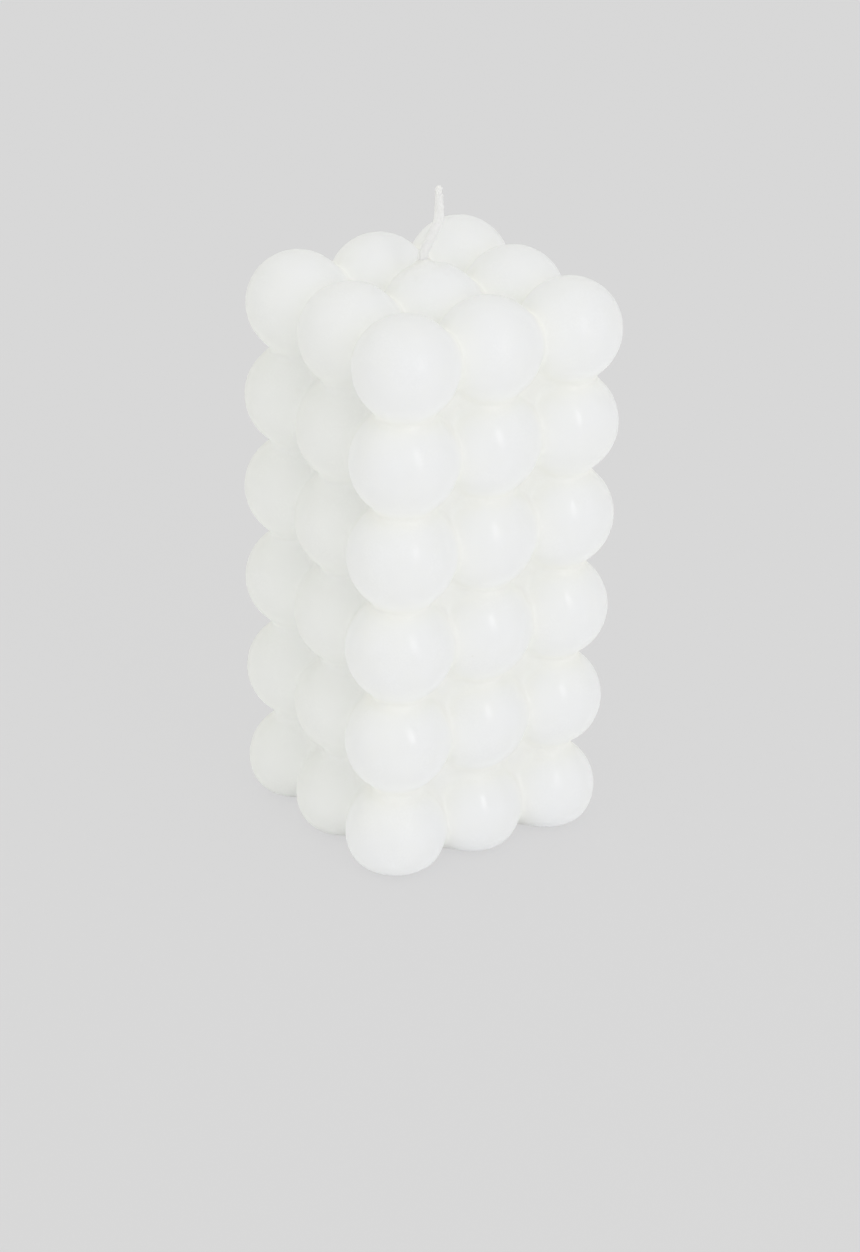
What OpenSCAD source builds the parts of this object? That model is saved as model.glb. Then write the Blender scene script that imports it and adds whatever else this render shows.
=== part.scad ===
// Square pillar candle cast as one block of fused wax balls, with a wick through its height.
// The frame has +Z up and its origin at the middle of the flat base. Sizes are in millimetres.
// The candle was cast in a soft mould, so its rows spread and swell a little along its height.

/* [Block of balls] */
// Balls along each side of the square, an odd number so that one stands in the middle
across = 3; // [1:2:5]
// Rows of balls from the base to the top
rows = 6; // [2:1:8]
// Distance between neighbouring balls in the bottom row
pitch_base = 18.7; // [17.5:0.1:19.5]
// Distance between neighbouring balls in the top row
pitch_top = 19.3; // [18:0.1:20]
// Height from the bottom row's centres to the next row's
step_base = 21.2; // [18:0.1:22]
// Height from the last row but one to the top row's centres
step_top = 19.8; // [18:0.1:21]

/* [Balls] */
// Radius of a ball in the bottom row
ball_r_base = 10.2; // [9.8:0.05:11]
// Radius of a ball in the top row
ball_r_top = 10.45; // [10:0.05:11.5]
// Extra radius of the balls at half height, where the mould swelled
ball_swell = 0.53; // [0:0.01:1]

/* [Wax between the balls] */
// How far the solid middle stands outside the outer balls' centres
web = 2; // [0.2:0.1:4]
// Radius of the neck that joins a ball to the one above it
neck_r = 4.5; // [3:0.1:6]

/* [Base] */
// Height of the bottom row's centres above the base
base_cut = 7.2; // [5:0.1:8.5]
// Height of the softened edge round the base of each bottom ball
base_edge = 0.5; // [0.2:0.05:1]

/* [Wick] */
// Diameter of the waxed wick
wick_d = 2; // [1.2:0.1:3]
// Diameter of the wick at its cut tip
wick_tip_d = 1.5; // [1:0.1:1.9]
// Place of the wick across the top ball, along X
wick_x = -0.5; // [-4:0.1:4]
// Place of the wick across the top ball, along Y
wick_y = 3.3; // [-4:0.1:4]
// Length of the wick's leaning stretch above the wax
wick_lean_l = 8.8; // [4:0.1:20]
// Length of the wick's straighter end above the leaning stretch
wick_end_l = 6.4; // [2:0.1:15]
// Angle at which the leaning stretch stands away from upright
wick_lean = 22; // [5:1:30]
// Angle at which the straighter end stands away from upright, less than 0 where it bends back past it
wick_end_lean = -4; // [-8:1:4]
// Direction in which the wick leans, turned from +X about +Z
wick_lean_dir = -35; // [-180:5:180]
// Height of the wax that crept up round the wick's foot
collar_h = 0.9; // [0.3:0.1:2]
// Width of that wax outside the wick, where it leaves the ball
collar_w = 1.5; // [0.8:0.1:3]

/* [Hidden] */
$fn = 64;

half = (across - 1) / 2;
last = rows - 1;

function blend(from, to, t) = from + (to - from) * t;
// How far up the stack a row stands, 0 at the bottom row and 1 at the top row
function along(k) = k / last;
function pitch(k) = blend(pitch_base, pitch_top, along(k));
function step(k) = blend(step_base, step_top, k / max(last - 1, 1));
function ball_r(k) = blend(ball_r_base, ball_r_top, along(k)) + 4 * ball_swell * along(k) * (1 - along(k));
function row_z(k) = k == 0 ? base_cut : row_z(k - 1) + step(k - 1);
// A ball that others hide on every side isn't drawn, because the solid middle stands there
function hidden(i, j, k) = abs(i) < half && abs(j) < half && k < last;

core_half = half * pitch_base + web;
top_z = row_z(last);
// The bottom balls and the middle reach this far below the base before the base is cut flat
spare = 1;
// Steepness of the softened edge: how far it goes out for each millimetre up
edge_slope = 2;
edge_r = sqrt(pow(ball_r_base, 2) - pow(base_cut - base_edge, 2));
// Height at which the top ball's surface passes over the wick
wick_foot_z = top_z + sqrt(pow(ball_r_top, 2) - pow(norm([wick_x, wick_y]), 2));
// The collar starts inside the ball, so that its rim is seated all round
collar_seat = 1.2;
collar_lip = 0.3;
// The wick starts to lean just above the collar
wick_root_z = wick_foot_z + collar_h + 0.3;
wick_r = wick_d / 2;
tip_r = wick_tip_d / 2;
// The joint in a bent wick is a touch fatter than the wick, so that it covers both ends
joint_r = wick_r * 1.03;

module at_ball(i, j, k) {
    translate([i * pitch(k), j * pitch(k), row_z(k)]) children();
}

// Ball of the bottom row, with a cone that softens the edge round its base
module bottom_ball() {
    intersection() {
        sphere(ball_r_base);
        translate([0, 0, -base_cut - spare])
            cylinder(
                h = base_cut + spare + ball_r_base,
                r1 = edge_r - (base_edge + spare) * edge_slope,
                r2 = edge_r + (base_cut + ball_r_base - base_edge) * edge_slope
            );
    }
}

module balls() {
    for (k = [0 : last], i = [-half : half], j = [-half : half])
        if (!hidden(i, j, k))
            at_ball(i, j, k) {
                if (k == 0) bottom_ball();
                else sphere(ball_r(k));
            }
}

// Necks between the balls of each outer column
module necks() {
    for (k = [0 : last - 1], i = [-half : half], j = [-half : half])
        if (!hidden(i, j, k))
            at_ball(i, j, k) cylinder(h = step(k), r = neck_r);
}

// Solid middle of the casting
module core() {
    translate([-core_half, -core_half, -spare])
        cube([2 * core_half, 2 * core_half, top_z + spare]);
}

// Wax that crept up the wick
module collar() {
    translate([wick_x, wick_y, wick_foot_z - collar_seat])
        cylinder(h = collar_h + collar_seat, r1 = wick_r + collar_w + collar_seat, r2 = wick_r + collar_lip);
}

module below_base() {
    side = 4 * core_half + 4 * ball_r_base;
    translate([-side / 2, -side / 2, -side]) cube(side);
}

module wick_bore() {
    translate([wick_x, wick_y, -spare]) cylinder(h = wick_root_z + spare, r = wick_r);
}

module wax_body() {
    color([0.93, 0.93, 0.9])
        difference() {
            union() {
                core();
                balls();
                necks();
                collar();
            }
            below_base();
            wick_bore();
        }
}

// Straighter end of the wick, narrowing to its cut tip
module wick_end() {
    cylinder(h = wick_end_l, r1 = wick_r, r2 = tip_r);
    translate([0, 0, wick_end_l]) sphere(tip_r * 1.03);
}

// The part of the wick that stands above the wax
module free_wick() {
    rotate([0, 0, wick_lean_dir]) {
        sphere(joint_r);
        rotate([0, wick_lean, 0]) {
            cylinder(h = wick_lean_l, r = wick_r);
            translate([0, 0, wick_lean_l]) {
                sphere(joint_r);
                rotate([0, wick_end_lean - wick_lean, 0]) wick_end();
            }
        }
    }
}

module wick() {
    color([0.9, 0.9, 0.88])
        translate([wick_x, wick_y, 0])
            union() {
                cylinder(h = wick_root_z, r = wick_r);
                translate([0, 0, wick_root_z]) free_wick();
            }
}

wax_body();
wick();
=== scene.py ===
"""Looks of a square pillar candle that was cast as one block of fused wax balls, with a braided wick.

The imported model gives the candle's real size and place. This script makes the wax skin with its soft
creases, the wick's braid, their finishes, and a plain studio to look at them in. All sizes are in metres.
"""

import math

import bmesh
import bpy
import numpy as np
from bpy.props import FloatProperty, FloatVectorProperty, IntProperty, PointerProperty
from mathutils import Matrix, Vector, noise


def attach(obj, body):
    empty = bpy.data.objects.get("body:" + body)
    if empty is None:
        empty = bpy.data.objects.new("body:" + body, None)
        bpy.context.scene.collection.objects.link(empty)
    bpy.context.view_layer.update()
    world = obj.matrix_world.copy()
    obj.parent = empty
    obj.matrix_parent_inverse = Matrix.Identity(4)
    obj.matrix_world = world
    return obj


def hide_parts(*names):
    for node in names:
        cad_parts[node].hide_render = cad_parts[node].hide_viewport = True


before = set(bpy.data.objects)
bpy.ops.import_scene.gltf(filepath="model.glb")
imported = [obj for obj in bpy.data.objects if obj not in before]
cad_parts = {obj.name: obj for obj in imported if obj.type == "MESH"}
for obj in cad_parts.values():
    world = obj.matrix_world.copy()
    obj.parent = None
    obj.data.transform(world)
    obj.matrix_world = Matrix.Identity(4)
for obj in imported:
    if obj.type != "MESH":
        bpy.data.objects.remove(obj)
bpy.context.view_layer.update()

bl_info = {
    "name": "Bubble Pillar Candle",
    "version": (1, 0, 0),
    "blender": (4, 5, 0),
    "location": "3D View > Sidebar > Candle",
    "description": "Makes a pillar candle of fused wax balls with a braided wick, and a studio round it",
    "category": "Add Mesh",
}

MM = 0.001


def length(name, description, default):
    """A property that holds a length, shown with the scene's unit."""
    return FloatProperty(name=name, description=description, default=default, unit="LENGTH", precision=5)


def angle(name, description, degrees):
    """A property that holds an angle, given in degrees."""
    default = math.radians(degrees)
    return FloatProperty(name=name, description=description, default=default, subtype="ANGLE")


def amount(name, description, default):
    """A property that holds a plain number."""
    return FloatProperty(name=name, description=description, default=default)


def colour(name, description, default):
    """A property that holds a colour in linear values."""
    return FloatVectorProperty(
        name=name, description=description, default=default, subtype="COLOR", min=0, max=1
    )


class WaxSettings(bpy.types.PropertyGroup):
    """Sizes of the cast block of balls."""

    across: IntProperty(name="Balls across", description="Balls along each side of the square", default=3)
    rows: IntProperty(name="Rows", description="Rows of balls from the base to the top", default=6)
    pitch_base: length("Pitch at base", "Distance between neighbouring balls in the bottom row", 18.7 * MM)
    pitch_top: length("Pitch at top", "Distance between neighbouring balls in the top row", 19.3 * MM)
    step_base: length("Step at base", "Height from the bottom row to the next row", 21.2 * MM)
    step_top: length("Step at top", "Height from the last row but one to the top row", 19.8 * MM)
    radius_base: length("Ball radius at base", "Radius of a ball in the bottom row", 10.2 * MM)
    radius_top: length("Ball radius at top", "Radius of a ball in the top row", 10.45 * MM)
    swell: length("Swell", "Extra radius of the balls at half height", 0.53 * MM)
    base_cut: length("Base cut", "Height of the bottom row's centres above the base", 7.2 * MM)
    web: length("Web", "How far the solid middle stands outside the outer balls' centres", 2.0 * MM)
    neck: length("Neck", "Radius of the neck between a ball and the one above it", 3.8 * MM)
    crease: length("Crease softness", "How far the wax fills the creases between the balls", 1.0 * MM)
    edge: length("Base edge softness", "How far the edge round the base is rounded", 0.9 * MM)
    unevenness: length("Unevenness", "How far the soft mould pushed the wax out of true", 0.1 * MM)
    voxel: length("Voxel", "Grain of the mesh before it is drawn onto the wax surface", 0.8 * MM)


class WickSettings(bpy.types.PropertyGroup):
    """Sizes of the braided wick."""

    diameter: length("Diameter", "Diameter of the waxed wick", 2.0 * MM)
    tip_diameter: length("Tip diameter", "Diameter of the wick at its cut tip", 1.5 * MM)
    place_x: length("Place X", "Place of the wick across the top ball, along X", -0.5 * MM)
    place_y: length("Place Y", "Place of the wick across the top ball, along Y", 3.3 * MM)
    lean_length: length("Leaning stretch", "Length of the leaning stretch above the wax", 8.8 * MM)
    end_length: length("Straighter end", "Length of the straighter end of the wick", 6.4 * MM)
    lean: angle("Lean", "Angle of the leaning stretch from upright", 22)
    end_lean: angle("End lean", "Angle of the straighter end from upright", -2.5)
    lean_towards: angle("Leans towards", "Direction of the lean, turned from +X", -35)
    collar_height: length("Collar height", "Height of the wax that crept up the wick", 0.9 * MM)
    strands: IntProperty(name="Strands", description="Strands that wind each way round", default=4)
    strand_turn: length("Strand turn", "Length in which a strand winds round once", 9.0 * MM)


class FinishSettings(bpy.types.PropertyGroup):
    """Colours of the wax, the wick and the floor."""

    wax: colour("Wax", "Colour of the clean wax", (0.93, 0.94, 0.953))
    # Painted shade: the creases are tinted towards this yellower colour, as they look in shade; the random
    # mottle of the wax also tends towards it
    wax_mottle_and_crease_shade: colour("Thick wax", "Colour of the wax in the creases, where light goes through more of it",
                      (0.933, 0.938, 0.912))
    wax_shaded_side: colour("Aged wax", "Colour of the wax on the side that has yellowed", (0.897, 0.907, 0.895))
    # Painted shade: the -X side is painted in this darker, yellower colour where it lies in shade
    cotton: colour("Cotton", "Colour of the waxed cotton", (0.93, 0.93, 0.93))
    floor: colour("Floor", "Colour of the floor as the camera sees it", (0.68, 0.679, 0.682))
    floor_paper: colour("Floor paper", "Colour of the floor as the wax sees it", (0.97, 0.97, 0.97))
    floor_glow: amount("Floor glow", "Light that the lit table under the candle gives off", 0.05)


class StageSettings(bpy.types.PropertyGroup):
    """The camera and the light."""

    azimuth: angle("Azimuth", "Camera's turn round the candle", -34.68)
    elevation: angle("Elevation", "Camera's angle above level", 27.2)
    roll: angle("Roll", "Camera's turn about its own axis", -1.64)
    distance: length("Distance", "Distance from the camera to the point that it is aimed at", 0.73077)
    aim: FloatVectorProperty(name="Aim", description="Point that the camera is aimed at",
                             subtype="TRANSLATION", default=(-3.3 * MM, -6.76 * MM, 44.63 * MM))
    lens: FloatProperty(name="Lens", description="Focal length for a 36 mm long side",
                        default=103.18, unit="CAMERA")
    sky: colour("Sky", "Colour of the even light from all round", (0.668, 0.666, 0.642))
    sky_up: amount("Sky above", "How much more of the even light comes from straight above", 0.25)
    sky_left: amount("Sky left", "How much more of the even light comes from -X", 0.065)
    sky_front: amount("Sky front", "How much more of the even light comes from -Y", 0.052)
    sky_blue: amount("Sky blue", "How much more blue there is in the light from -Y", 0.04)
    box: FloatProperty(name="Soft box", description="Power of the tall soft box in front of the candle",
                       default=0.33, unit="POWER")
    box_width: length("Soft box width", "Width of the tall soft box", 0.16)
    box_height: length("Soft box height", "Height of the tall soft box", 0.42)
    box_distance: length("Soft box distance", "Distance from the candle to the soft box", 0.75)
    box_elevation: angle("Soft box elevation", "Angle of the soft box above level", 29)


SETTINGS = {
    "candle_wax": WaxSettings,
    "candle_wick": WickSettings,
    "candle_finish": FinishSettings,
    "candle_stage": StageSettings,
}


# Shader expressions


class Value:
    """A socket that holds a number and can be used in an expression."""

    def __init__(self, tree, socket):
        self.tree = tree
        self.socket = socket

    def _math(self, operation, *terms):
        return self.tree.node("ShaderNodeMath", {"operation": operation}, dict(enumerate(terms)))[0]

    def __add__(self, other):
        return self._math("ADD", self, other)

    __radd__ = __add__

    def __sub__(self, other):
        return self._math("SUBTRACT", self, other)

    def __rsub__(self, other):
        return self._math("SUBTRACT", other, self)

    def __mul__(self, other):
        return self._math("MULTIPLY", self, other)

    __rmul__ = __mul__


class Tree:
    """A material's or the world's node tree, cleared and ready for new nodes."""

    def __init__(self, owner):
        owner.use_nodes = True
        self.tree = owner.node_tree
        self.tree.nodes.clear()

    def node(self, kind, settings=None, inputs=None):
        """Adds a node, sets its settings and then its inputs, and returns its outputs by name or place."""
        made = self.tree.nodes.new(kind)
        for name, value in (settings or {}).items():
            setattr(made, name, value)
        for name, value in (inputs or {}).items():
            if isinstance(value, Value):
                self.tree.links.new(value.socket, made.inputs[name])
            else:
                made.inputs[name].default_value = value
        return Outputs(self, made)


class Outputs:
    """The outputs of a node, each given as a Value."""

    def __init__(self, tree, made):
        self.tree = tree
        self.made = made

    def __getitem__(self, name):
        return Value(self.tree, self.made.outputs[name])


def rgba(values):
    """A colour property as four numbers."""
    return (*values, 1.0)


def mix_colour(tree, factor, first, second):
    """Goes from the first colour to the second as the factor goes from 0 to 1."""
    inputs = {"Factor": factor, 6: first, 7: second}
    return tree.node("ShaderNodeMix", {"data_type": "RGBA", "clamp_factor": True}, inputs)[2]


def smooth_range(tree, value, low, high, to_low=0.0, to_high=1.0):
    """Eases a value from to_low at low to to_high at high."""
    settings = {"interpolation_type": "SMOOTHSTEP", "clamp": True}
    inputs = {"Value": value, "From Min": low, "From Max": high, "To Min": to_low, "To Max": to_high}
    return tree.node("ShaderNodeMapRange", settings, inputs)["Result"]


def noise_at(tree, place, grain, detail, stretch=(1.0, 1.0, 1.0)):
    """Noise whose lumps are about a grain wide, longer along an axis where stretch is under 1."""
    scaled = tree.node("ShaderNodeMapping", {}, {"Vector": place, "Scale": stretch})["Vector"]
    inputs = {"Vector": scaled, "Scale": 1.0 / grain, "Detail": detail}
    return tree.node("ShaderNodeTexNoise", {}, inputs)["Fac"]


def pits_at(tree, place, spacing, radius, share):
    """Small round pits: about one place in each spacing, of which only a share holds a pit."""
    cells = tree.node("ShaderNodeTexVoronoi", {}, {"Vector": place, "Scale": 1.0 / spacing})
    lottery = tree.node("ShaderNodeSeparateColor", {}, {"Color": cells["Color"]})["Red"]
    narrow = 0.01
    chosen = smooth_range(tree, lottery, share, share + narrow, 1.0, 0.0)
    rim = radius / spacing
    flat_bottom = 0.35 * rim
    return chosen * smooth_range(tree, cells["Distance"], flat_bottom, rim, 1.0, 0.0)


def bump(tree, height, depth, normal=None):
    """Turns a height from 0 to 1 into a normal, with its full depth given as a length."""
    inputs = {"Height": height, "Distance": depth, "Strength": 1.0}
    if normal is not None:
        inputs["Normal"] = normal
    return tree.node("ShaderNodeBump", {}, inputs)["Normal"]


# Materials


def wax_material(finish):
    """White candle wax: satin, a little translucent, with ripples and a few pits; painted shade darkens one
    side, the creases and the pits.
    """
    material = bpy.data.materials.new("candle_wax")
    tree = Tree(material)
    place = tree.node("ShaderNodeTexCoord")["Object"]
    crease = tree.node("ShaderNodeAttribute", {"attribute_name": "crease"})["Fac"]
    melt = tree.node("ShaderNodeAttribute", {"attribute_name": "melt"})["Fac"]

    # Painted shade: the -X side is darker and yellower, as it lies in shade, but neither its front corner
    # nor the top of the block
    at = tree.node("ShaderNodeSeparateXYZ", {}, {"Vector": place})
    side_shade = smooth_range(tree, at["X"], -24 * MM, -8 * MM, 1.0, 0.0)
    side_shade = side_shade * smooth_range(tree, at["Y"], -15 * MM, -8 * MM)
    side_shade = side_shade * smooth_range(tree, at["Z"], 100 * MM, 125 * MM, 1.0, 0.0)

    mottle = noise_at(tree, place, grain=9 * MM, detail=3.0)
    # Painted shade in the creases, added to a random mottle of the wax's own tone
    crease_shade_share = 0.9
    mottle_and_crease_shade = smooth_range(tree, mottle, 0.35, 0.75, 0.0, 0.25) + crease * crease_shade_share
    paint = mix_colour(tree, mottle_and_crease_shade, rgba(finish.wax), rgba(finish.wax_mottle_and_crease_shade))
    paint = mix_colour(tree, side_shade, paint, rgba(finish.wax_shaded_side))
    pits = pits_at(tree, place, spacing=7 * MM, radius=0.25 * MM, share=0.07)
    # Painted shade: the pits are painted darker, as shade falls in them
    pit_shade_amount = 0.7
    pit_shade_colour = [0.93 * part for part in finish.wax_mottle_and_crease_shade]
    paint = mix_colour(tree, pits * pit_shade_amount, paint, rgba(pit_shade_colour))

    waves = noise_at(tree, place, grain=5 * MM, detail=1.0)
    runs = noise_at(tree, place, grain=1.3 * MM, detail=1.0)
    crackle = noise_at(tree, place, grain=0.45 * MM, detail=2.0)
    crackled = smooth_range(tree, noise_at(tree, place, grain=7 * MM, detail=1.0), 0.48, 0.6)
    skin = bump(tree, waves, 0.03 * MM)
    skin = bump(tree, runs * melt, 0.25 * MM, skin)
    skin = bump(tree, crackle * crackled, 0.008 * MM, skin)
    skin = bump(tree, 1 - pits, 0.02 * MM, skin)

    # The gloss fades towards glancing angles, and the crackle dulls it where no wax has melted
    facing = tree.node("ShaderNodeLayerWeight")["Facing"]
    dull = smooth_range(tree, crackle, 0.42, 0.6, 0.0, 0.3) * crackled * (1 - melt)
    gloss = smooth_range(tree, facing, 0.25, 0.7, 1.0, 0.0) * (1 - dull)
    surface = tree.node("ShaderNodeBsdfPrincipled", {"subsurface_method": "BURLEY"}, {
        "Base Color": paint,
        "Roughness": 0.5,
        "Normal": skin,
        "IOR": 1.44,
        "Specular IOR Level": 0.0,
        "Coat Weight": gloss,
        "Coat Roughness": 0.15,
        "Coat IOR": 1.5,
        "Subsurface Weight": 0.2,
        "Subsurface Radius": (1.0, 1.0, 0.85),
        "Subsurface Scale": 12 * MM,
    })["BSDF"]
    tree.node("ShaderNodeOutputMaterial", {}, {"Surface": surface})
    return material


def wick_material(finish):
    """Braided cotton soaked in wax: dull white, with fibres along it and painted shade in the grooves."""
    material = bpy.data.materials.new("candle_wick")
    tree = Tree(material)
    place = tree.node("ShaderNodeTexCoord")["Object"]
    groove = tree.node("ShaderNodeAttribute", {"attribute_name": "groove"})["Fac"]
    fibres = noise_at(tree, place, grain=0.12 * MM, detail=3.0, stretch=(1.0, 1.0, 0.16))
    patches = noise_at(tree, place, grain=1.5 * MM, detail=2.0)
    # Painted shade: the grooves between the strands are painted darker, and the fibres add a random darker
    # tone
    groove_shade_amount = 0.3
    shade = groove * groove_shade_amount + smooth_range(tree, fibres, 0.45, 0.8, 0.0, 0.4)
    cotton_fibres_and_groove_shade = [0.88 * part for part in finish.cotton]
    paint = mix_colour(tree, shade, rgba(finish.cotton), rgba(cotton_fibres_and_groove_shade))
    surface = tree.node("ShaderNodeBsdfPrincipled", {"subsurface_method": "BURLEY"}, {
        "Base Color": paint,
        "Roughness": smooth_range(tree, patches, 0.35, 0.7, 0.42, 0.62),
        "Normal": bump(tree, fibres, 0.02 * MM),
        "IOR": 1.44,
        "Specular IOR Level": 0.2,
        "Subsurface Weight": 0.3,
        "Subsurface Radius": (1.0, 1.0, 0.9),
        "Subsurface Scale": 1.5 * MM,
    })["BSDF"]
    tree.node("ShaderNodeOutputMaterial", {}, {"Surface": surface})
    return material


def floor_material(finish):
    """A pale floor: the camera sees mostly its plain colour, and the candle's shadow on it."""
    material = bpy.data.materials.new("pale_floor")
    tree = Tree(material)
    sheet = tree.node("ShaderNodeBsdfDiffuse", {}, {"Color": rgba(finish.floor_paper)})["BSDF"]
    light = {"Color": (1, 1, 1, 1), "Strength": finish.floor_glow}
    lit = tree.node("ShaderNodeEmission", {}, light)["Emission"]
    paper = tree.node("ShaderNodeAddShader", {}, {0: sheet, 1: lit})["Shader"]

    # The plain colour makes up for the share of paper in the picture and for the light on it
    plain_share = 0.88
    light_on_paper = 0.84
    paper_part = (1 - plain_share) * light_on_paper
    pairs = zip(finish.floor, finish.floor_paper)
    glow = [(wanted - paper_part * under) / plain_share for wanted, under in pairs]
    plain = tree.node("ShaderNodeEmission", {}, {"Color": rgba(glow), "Strength": 1.0})["Emission"]
    rays = tree.node("ShaderNodeLightPath")
    seen = rays["Is Camera Ray"] + rays["Is Glossy Ray"] + rays["Is Transmission Ray"]
    surface = tree.node("ShaderNodeMixShader", {}, {0: seen * plain_share, 1: paper, 2: plain})["Shader"]
    tree.node("ShaderNodeOutputMaterial", {}, {"Surface": surface})
    return material


# Meshes


def blend(start, end, share):
    """Goes from start to end as the share goes from 0 to 1."""
    return start + (end - start) * share


def smooth(share):
    """Eases from 0 to 1 as the share goes from 0 to 1, and stays there outside that range."""
    share = min(1.0, max(0.0, share))
    return share * share * (3 - 2 * share)


def read_points(mesh):
    """The places of a mesh's vertices, one row for each."""
    points = np.empty(len(mesh.vertices) * 3)
    mesh.vertices.foreach_get("co", points)
    return points.reshape(-1, 3)


def write_points(mesh, points):
    """Moves a mesh's vertices to new places."""
    mesh.vertices.foreach_set("co", points.ravel())
    mesh.update()


def write_attribute(mesh, name, values):
    """Stores a number with each vertex, for a material to read."""
    layer = mesh.attributes.new(name, "FLOAT", "POINT")
    layer.data.foreach_set("value", np.ascontiguousarray(values, dtype=np.float32))


def add_rod(bm, x, y, low, high, radius, top_radius):
    """Adds a closed upright rod between two heights."""
    middle = Matrix.Translation((x, y, (low + high) / 2))
    bmesh.ops.create_cone(
        bm, cap_ends=True, segments=24, radius1=radius, radius2=top_radius, depth=high - low, matrix=middle
    )


def fused(mesh, voxel, name):
    """The mesh's closed shapes fused into one skin."""
    block = bpy.data.objects.new(name, mesh)
    bpy.context.scene.collection.objects.link(block)
    fuse = block.modifiers.new("fuse", "REMESH")
    fuse.mode = "VOXEL"
    fuse.voxel_size = voxel
    graph = bpy.context.evaluated_depsgraph_get()
    skin = bpy.data.meshes.new_from_object(block.evaluated_get(graph))
    block.modifiers.clear()
    block.data = skin
    bpy.data.meshes.remove(mesh)
    return block


def relax(mesh, rounds):
    """Evens out the spacing of the vertices."""
    bm = bmesh.new()
    bm.from_mesh(mesh)
    for _ in range(rounds):
        bmesh.ops.smooth_vert(
            bm, verts=bm.verts, factor=0.5, use_axis_x=True, use_axis_y=True, use_axis_z=True
        )
    bm.to_mesh(mesh)
    bm.free()


def dress(mesh, material):
    """Shades a mesh smooth and gives it its one material."""
    mesh.shade_smooth()
    mesh.materials.clear()
    mesh.materials.append(material)


# Shape of the wax


def fullness(rows, softness):
    """How far the parts near a point add up, which is most in the creases between them."""
    return softness * np.log(np.exp((rows.min(axis=0) - rows) / softness).sum(axis=0))


class WaxShape:
    """The block of balls as one soft union, which tells how far any point lies outside the wax."""

    def __init__(self, wax, wick):
        self.wax = wax
        self.wick = wick
        half = (wax.across - 1) // 2
        last = wax.rows - 1
        self.centres = []
        self.radii = []
        self.necks = []
        height = wax.base_cut
        for row in range(wax.rows):
            up = row / last
            pitch = blend(wax.pitch_base, wax.pitch_top, up)
            step = blend(wax.step_base, wax.step_top, row / (last - 1))
            # The swell follows a curve that is 0 at both ends and 1 at half height
            radius = blend(wax.radius_base, wax.radius_top, up) + 4 * wax.swell * up * (1 - up)
            for i in range(-half, half + 1):
                for j in range(-half, half + 1):
                    hidden_by_others = abs(i) < half and abs(j) < half and row < last
                    if hidden_by_others:
                        continue
                    self.centres.append((i * pitch, j * pitch, height))
                    self.radii.append(radius)
                    if row < last:
                        self.necks.append((i * pitch, j * pitch, height, height + step))
            if row < last:
                height += step
        self.top = height
        self.core_half = half * wax.pitch_base + wax.web
        reach = math.hypot(wick.place_x, wick.place_y)
        self.foot = self.top + math.sqrt(wax.radius_top ** 2 - reach ** 2)

    def parts(self, points):
        """Distance from each point to each ball and neck, the middle and the collar, one row for each."""
        count = len(self.centres) + len(self.necks) + 2
        rows = np.empty((count, len(points)), dtype=np.float32)
        x, y, z = points.T
        row = 0
        for (at_x, at_y, at_z), radius in zip(self.centres, self.radii):
            rows[row] = np.sqrt((x - at_x) ** 2 + (y - at_y) ** 2 + (z - at_z) ** 2) - radius
            row += 1
        for at_x, at_y, low, high in self.necks:
            side = np.sqrt((x - at_x) ** 2 + (y - at_y) ** 2) - self.wax.neck
            rows[row] = np.maximum(side, np.maximum(low - z, z - high))
            row += 1
        middle = np.abs(points - (0, 0, self.top / 2)) - (self.core_half, self.core_half, self.top / 2)
        outside = np.sqrt((np.maximum(middle, 0) ** 2).sum(axis=1))
        rows[row] = outside + np.minimum(middle.max(axis=1), 0)

        # The collar narrows upwards, and its root is sunk in the top ball
        taper = 0.2
        sunk = 2 * MM
        above = z - self.foot
        from_wick = np.sqrt((x - self.wick.place_x) ** 2 + (y - self.wick.place_y) ** 2)
        side = from_wick - self.wick.diameter / 2 + above * taper
        ends = np.abs(above + sunk) - self.wick.collar_height - sunk
        rows[row + 1] = np.maximum(side, ends)
        return rows

    def distance(self, points):
        """Soft union of the parts, cut by the base with a rounded edge."""
        rows = self.parts(points)
        solid = (rows.min(axis=0) - fullness(rows, self.wax.crease)).astype(float)
        edge = self.wax.edge
        below = -points[:, 2]
        rounding = edge * np.log1p(np.exp(-np.abs(solid - below) / edge))
        deep_inside = solid < -8 * edge
        return np.maximum(solid, below) + np.where(deep_inside, 0.0, rounding)

    def slope(self, points, here):
        """Direction in which the distance grows fastest, and how fast."""
        nudge = 0.03 * MM
        slope = np.empty_like(points)
        for axis in range(3):
            shift = np.zeros(3)
            shift[axis] = nudge
            slope[:, axis] = (self.distance(points + shift) - here) / nudge
        return slope

    def settle(self, points, lift, rounds=3):
        """Moves each point to where the distance equals its lift."""
        here = self.distance(points)
        slope = self.slope(points, here)
        least_steep = 0.2
        steep = np.maximum((slope ** 2).sum(axis=1), least_steep)
        for _ in range(rounds):
            points = points - slope * ((here - lift) / steep)[:, None]
            here = self.distance(points)
        return points


def rough_block(shape, wax, wick):
    """The balls, necks, middle and collar as plain shapes in one mesh, ready to be fused."""
    bm = bmesh.new()
    for centre, radius in zip(shape.centres, shape.radii):
        bmesh.ops.create_icosphere(bm, subdivisions=3, radius=radius, matrix=Matrix.Translation(centre))
    for x, y, low, high in shape.necks:
        add_rod(bm, x, y, low, high, wax.neck, wax.neck)
    side = 2 * shape.core_half
    scale = Matrix.Diagonal((side, side, shape.top, 1))
    bmesh.ops.create_cube(bm, size=1, matrix=Matrix.Translation((0, 0, shape.top / 2)) @ scale)
    collar_low = shape.foot - 3.2 * MM
    collar_high = shape.foot + 0.8 * MM
    collar_radius = wick.diameter / 2 + 0.5 * MM
    add_rod(bm, wick.place_x, wick.place_y, collar_low, collar_high, collar_radius, collar_radius)
    mesh = bpy.data.meshes.new("wax_rough")
    bm.to_mesh(mesh)
    bm.free()
    return mesh


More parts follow.
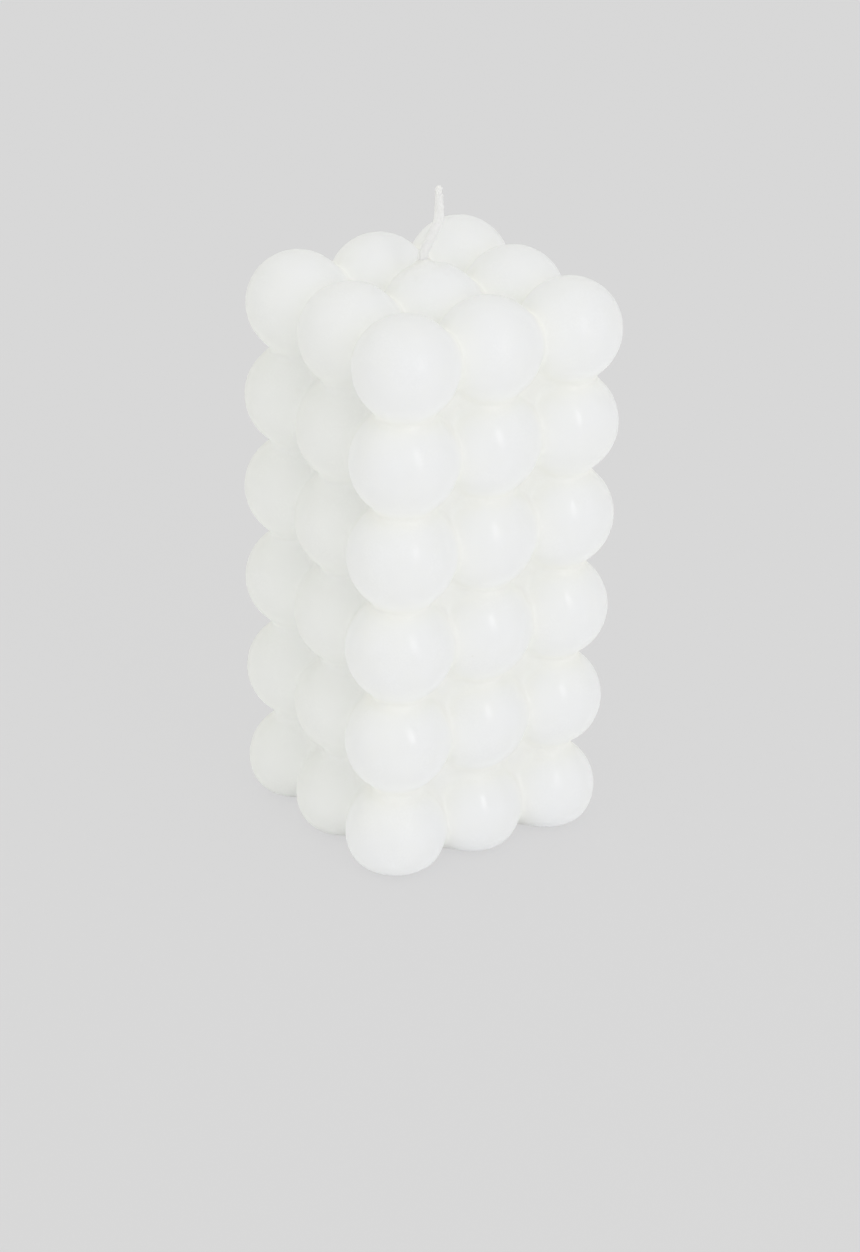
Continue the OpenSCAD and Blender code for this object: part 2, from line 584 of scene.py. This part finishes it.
def near(points, foot):
    """How near each point is to the wick's foot: 1 where melted wax ran round it, and 0 farther out."""
    reach = 9 * MM
    fade = 5 * MM
    return np.clip((reach - np.linalg.norm(points - foot, axis=1)) / fade, 0, 1)


def lumps_at(points, grain, shift=(0, 0, 0)):
    """Smooth noise at each point, with lumps about a grain wide."""
    return np.array([noise.noise(Vector(point) / grain + Vector(shift)) for point in points])


def uneven(points, depth, foot):
    """How far the mould pushed each point out of true, and how high wax ran round the wick's foot."""
    large = lumps_at(points, 13 * MM)
    small = lumps_at(points, 5 * MM, shift=(7, 3, 1))
    fade_in = 3 * MM
    above_base = np.clip(points[:, 2] / fade_in, 0, 1)
    near_foot = near(points, foot)
    melted = near_foot > 0
    run_depth = 0.5 * MM
    runs = np.zeros(len(points))
    runs[melted] = lumps_at(points[melted], 2.8 * MM)
    return depth * (large + 0.5 * small) * above_base + run_depth * runs * near_foot


def make_wax(wax, wick, finish):
    """The whole casting as one skin on the soft union of its balls."""
    shape = WaxShape(wax, wick)
    block = fused(rough_block(shape, wax, wick), wax.voxel, "wax_skin")
    mesh = block.data
    points = shape.settle(read_points(mesh), 0.0)
    for _ in range(2):
        write_points(mesh, points)
        relax(mesh, 2)
        points = shape.settle(read_points(mesh), 0.0, rounds=2)
    foot = Vector((wick.place_x, wick.place_y, shape.foot))
    points = shape.settle(points, uneven(points, wax.unevenness, foot), rounds=2)
    points[:, 2] = np.maximum(points[:, 2], 0.0)
    write_points(mesh, points)

    # The crease mask tells the material where to paint shade into the creases
    crease_width = 2 * MM
    deep_crease = 1.4 * MM
    open_wax = 0.15
    thick = fullness(shape.parts(points), crease_width)
    write_attribute(mesh, "crease", np.clip(thick / deep_crease - open_wax, 0, 1))
    write_attribute(mesh, "melt", near(points, foot))
    dress(mesh, wax_material(finish))
    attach(block, "root")
    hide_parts("wax_body")


# Shape of the wick


class WickPath:
    """The wick's middle line above the wax, with the directions across it."""

    def __init__(self, wick, foot):
        self.wick = wick
        upright = 0.3 * MM
        self.root = Vector((wick.place_x, wick.place_y, foot + wick.collar_height + upright))
        self.total = wick.lean_length + wick.end_length
        self.towards = Vector((math.cos(wick.lean_towards), math.sin(wick.lean_towards), 0))
        self.across = Vector((0, 0, 1)).cross(self.towards)
        self.samples = 400
        self.places = [self.root.copy()]
        for n in range(self.samples):
            along = self.total * (n + 0.5) / self.samples
            self.places.append(self.places[-1] + self.heading(along) * self.total / self.samples)

    def tilt(self, along):
        """Angle from upright, eased over the two bends."""
        first_bend = 1.8 * MM
        second_bend = 2.4 * MM
        lean = smooth(along / first_bend) * self.wick.lean
        straighten = smooth((along - self.wick.lean_length + second_bend / 2) / second_bend)
        return blend(lean, self.wick.end_lean, straighten)

    def heading(self, along):
        """Direction of the middle line, which is upright below its start."""
        tilt = self.tilt(along)
        return Vector((0, 0, 1)) * math.cos(tilt) + self.towards * math.sin(tilt)

    def point(self, along, sideways=0.0, outwards=0.0):
        """A point beside the middle line: sideways across the lean and outwards in its plane."""
        if along <= 0:
            middle = self.root + Vector((0, 0, along))
        else:
            middle = self.places[min(self.samples, round(along / self.total * self.samples))].copy()
            middle += self.heading(along) * max(0.0, along - self.total)
        level = self.across.cross(self.heading(along))
        return middle + self.across * sideways + level * outwards

    def narrowing(self, along):
        """Share of the full thickness that the wick has here."""
        tip = self.wick.tip_diameter / self.wick.diameter
        return blend(1.0, tip, smooth((along - self.wick.lean_length) / self.wick.end_length))


def add_tube(bm, rings, sides):
    """Adds a closed tube through a list of rings, each given by its centre, the way ahead and its radius."""
    loops = []
    for centre, ahead, radius in rings:
        place = Matrix.Translation(centre) @ ahead.to_track_quat("Z", "Y").to_matrix().to_4x4()
        made = bmesh.ops.create_circle(bm, segments=sides, radius=radius, matrix=place)
        loops.append(list(dict.fromkeys(edge for vert in made["verts"] for edge in vert.link_edges)))
    for low, high in zip(loops, loops[1:]):
        bmesh.ops.bridge_loops(bm, edges=low + high)
    for loop in (loops[0], loops[-1]):
        bmesh.ops.contextual_create(bm, geom=loop)


def strand_rings(path, wick, number, way, start, end):
    """Rings of a strand that winds round the braid, over and under the strands that wind the other way."""
    full = wick.diameter / 2
    # The first three are shares of the wick's radius, and the last is a share of the strand's own
    middle_out = 0.78
    over_and_under = 0.02
    strand_radius = 0.27
    cut_end = 0.75
    steps = 90
    places = []
    for n in range(steps + 1):
        along = blend(start, end, n / steps)
        turn = 2 * math.pi * (number / wick.strands + way * along / wick.strand_turn)
        over = way * over_and_under * math.cos(2 * math.pi * along * wick.strands / wick.strand_turn)
        out = (middle_out + over) * full * path.narrowing(along)
        places.append(path.point(along, out * math.cos(turn), out * math.sin(turn)))
    rings = []
    for n, place in enumerate(places):
        ahead = places[min(n + 1, steps)] - places[max(n - 1, 0)]
        radius = strand_radius * full * path.narrowing(blend(start, end, n / steps))
        rings.append((place, ahead, radius * (cut_end if n == steps else 1.0)))
    return rings


def core_rings(path, radius, start, end):
    """Rings of the core that fills the braid."""
    steps = 60
    rings = []
    for n in range(steps + 1):
        along = blend(start, end, n / steps)
        rings.append((path.point(along), path.heading(along), radius * path.narrowing(along)))
    return rings


def make_wick(wax, wick, finish):
    """The wick: a braid of strands above the wax, and a plain waxed rod through the block."""
    path = WickPath(wick, WaxShape(wax, wick).foot)
    full = wick.diameter / 2
    core = 0.97 * full
    # The braid starts inside the top ball, and its strands are cut at three lengths
    start = -3.0 * MM
    stagger = 0.2 * MM
    bm = bmesh.new()
    for way in (1, -1):
        for number in range(wick.strands):
            end = path.total + stagger * (1 - (number * 2 + (way > 0)) % 3)
            add_tube(bm, strand_rings(path, wick, number, way, start, end), 10)
    add_tube(bm, core_rings(path, core, start, path.total + 0.05 * MM), 20)
    rough = bpy.data.meshes.new("wick_rough")
    bm.to_mesh(rough)
    bm.free()
    braid_voxel = 0.085 * MM
    braid = fused(rough, braid_voxel, "wick_braid")
    mesh = braid.data
    relax(mesh, 2)

    points = read_points(mesh)
    middles = np.array([path.point(along) for along in np.linspace(start, path.total, 300)])
    gap = np.sqrt(((points[:, None, :] - middles[None]) ** 2).sum(axis=2).min(axis=1))
    deep_groove = 0.2 * full
    write_attribute(mesh, "groove", np.clip((core - gap) / deep_groove, 0, 1))

    # The rod's cut end at the base stands a hair proud, so that it shows from below
    proud = 0.02 * MM
    overlap = 0.5 * MM
    bm = bmesh.new()
    bm.from_mesh(mesh)
    add_rod(bm, wick.place_x, wick.place_y, -proud, path.root.z + start + overlap, full, 0.9 * full)
    bm.to_mesh(mesh)
    bm.free()
    dress(mesh, wick_material(finish))
    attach(braid, "root")
    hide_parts("wick")


# Stage


def turned(azimuth, elevation):
    """Direction out from the candle: azimuth 0 is towards -Y, and it grows towards +X."""
    flat = math.cos(elevation)
    return Vector((math.sin(azimuth) * flat, -math.cos(azimuth) * flat, math.sin(elevation)))


def make_floor(finish):
    """The floor that the candle stands on."""
    half_width = 3.0
    bm = bmesh.new()
    bmesh.ops.create_grid(bm, x_segments=2, y_segments=2, size=half_width)
    mesh = bpy.data.meshes.new("floor")
    bm.to_mesh(mesh)
    bm.free()
    mesh.materials.append(floor_material(finish))
    floor = bpy.data.objects.new("floor", mesh)
    bpy.context.scene.collection.objects.link(floor)


def make_soft_box(stage):
    """The tall oval soft box in front of the candle, facing its middle."""
    data = bpy.data.lights.new("soft_box", "AREA")
    data.shape = "ELLIPSE"
    data.size = stage.box_width
    data.size_y = stage.box_height
    data.energy = stage.box
    towards = turned(0, stage.box_elevation)
    candle_middle = Vector((0, 0, 60 * MM))
    box = bpy.data.objects.new("soft_box", data)
    box.location = candle_middle + towards * stage.box_distance
    box.rotation_mode = "QUATERNION"
    box.rotation_quaternion = (-towards).to_track_quat("-Z", "Y")
    bpy.context.scene.collection.objects.link(box)


def make_camera(stage):
    """The camera, aimed at its point and turned about its own axis by the roll."""
    data = bpy.data.cameras.new("camera")
    data.sensor_width = 36.0
    data.lens = stage.lens
    camera = bpy.data.objects.new("camera", data)
    back = turned(stage.azimuth, stage.elevation)
    facing = (-back).to_track_quat("-Z", "Y").to_matrix()
    facing = facing @ Matrix.Rotation(-stage.roll, 3, "Z")
    camera.rotation_mode = "QUATERNION"
    camera.rotation_quaternion = facing.to_quaternion()
    camera.location = Vector(stage.aim) + back * stage.distance
    bpy.context.scene.collection.objects.link(camera)
    bpy.context.scene.camera = camera


def make_sky(stage):
    """Even light from all round, with more of it from above, -X and -Y, and bluer from -Y."""
    world = bpy.data.worlds.new("sky")
    bpy.context.scene.world = world
    tree = Tree(world)
    direction = tree.node("ShaderNodeTexCoord")["Generated"]

    def along(axis):
        inputs = {0: direction, 1: axis}
        return tree.node("ShaderNodeVectorMath", {"operation": "DOT_PRODUCT"}, inputs)["Value"]

    front = along((0, -1, 0))
    more = along((0, 0, 1)) * stage.sky_up + along((-1, 0, 0)) * stage.sky_left + front * stage.sky_front
    red, green, blue = (more + part for part in stage.sky)
    blue = blue + front * stage.sky_blue
    light = tree.node("ShaderNodeCombineColor", {}, {"Red": red, "Green": green, "Blue": blue})["Color"]
    sky = tree.node("ShaderNodeBackground", {}, {"Color": light, "Strength": 1.0})["Background"]
    tree.node("ShaderNodeOutputWorld", {}, {"Surface": sky})


# Operators and panel


class MakeWaxBody(bpy.types.Operator):
    """Make the cast block of fused wax balls"""

    bl_idname = "candle.make_wax_body"
    bl_label = "Make Wax Body"

    def execute(self, context):
        scene = context.scene
        make_wax(scene.candle_wax, scene.candle_wick, scene.candle_finish)
        return {"FINISHED"}


class MakeWick(bpy.types.Operator):
    """Make the braided wick, from the base to its cut tip"""

    bl_idname = "candle.make_wick"
    bl_label = "Make Wick"

    def execute(self, context):
        scene = context.scene
        make_wick(scene.candle_wax, scene.candle_wick, scene.candle_finish)
        return {"FINISHED"}


class SetStage(bpy.types.Operator):
    """Set up the camera, the floor, the sky and the soft box"""

    bl_idname = "candle.set_stage"
    bl_label = "Set Stage"

    def execute(self, context):
        stage = context.scene.candle_stage
        make_camera(stage)
        make_floor(context.scene.candle_finish)
        make_sky(stage)
        make_soft_box(stage)
        context.scene.view_settings.view_transform = "Standard"
        return {"FINISHED"}


class CandlePanel(bpy.types.Panel):
    """Lists the candle's sizes, finishes and makers"""

    bl_idname = "CANDLE_PT_parts"
    bl_label = "Candle"
    bl_space_type = "VIEW_3D"
    bl_region_type = "UI"
    bl_category = "Candle"

    def draw(self, context):
        for name, group in SETTINGS.items():
            box = self.layout.box()
            for key in group.__annotations__:
                box.prop(getattr(context.scene, name), key)
        for operator in OPERATORS:
            self.layout.operator(operator.bl_idname)


OPERATORS = (MakeWaxBody, MakeWick, SetStage)
CLASSES = (*SETTINGS.values(), *OPERATORS, CandlePanel)


def register():
    for cls in CLASSES:
        bpy.utils.register_class(cls)
    for name, group in SETTINGS.items():
        setattr(bpy.types.Scene, name, PointerProperty(type=group))


def unregister():
    for name in SETTINGS:
        delattr(bpy.types.Scene, name)
    for cls in reversed(CLASSES):
        bpy.utils.unregister_class(cls)


def main():
    register()
    bpy.ops.candle.set_stage()
    bpy.ops.candle.make_wax_body()
    bpy.ops.candle.make_wick()


if __name__ == "__main__":
    main()
